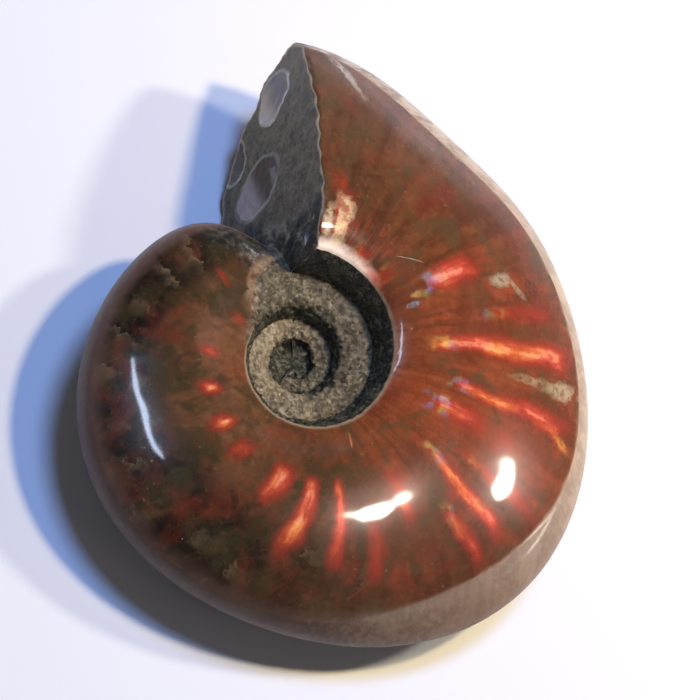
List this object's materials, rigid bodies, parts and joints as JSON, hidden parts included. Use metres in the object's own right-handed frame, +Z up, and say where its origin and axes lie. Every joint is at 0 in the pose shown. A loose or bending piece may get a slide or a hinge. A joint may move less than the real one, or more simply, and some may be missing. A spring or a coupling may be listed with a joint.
{
  "type": "ammonite fossil",
  "caption": "Polished fossil ammonite shell: one tight spiral coil with a sunken centre on both sides and a broken mouth face, lying on one flank.",
  "frame": {"origin": "centre of the bounding box in X and Y, on the surface the fossil lies on in Z", "axes": "+Z up from the surface it lies on, +Y from the coil towards the tip of the mouth, +X to the side where the last half turn lies; the coil grows anticlockwise seen from above"},
  "size_m": [0.052, 0.0596, 0.0191],
  "materials": {
    "fossil_stone": "polished"
  },
  "bodies": {
    "root": {"ammonite": "fossil_stone"}
  },
  "joints": []
}
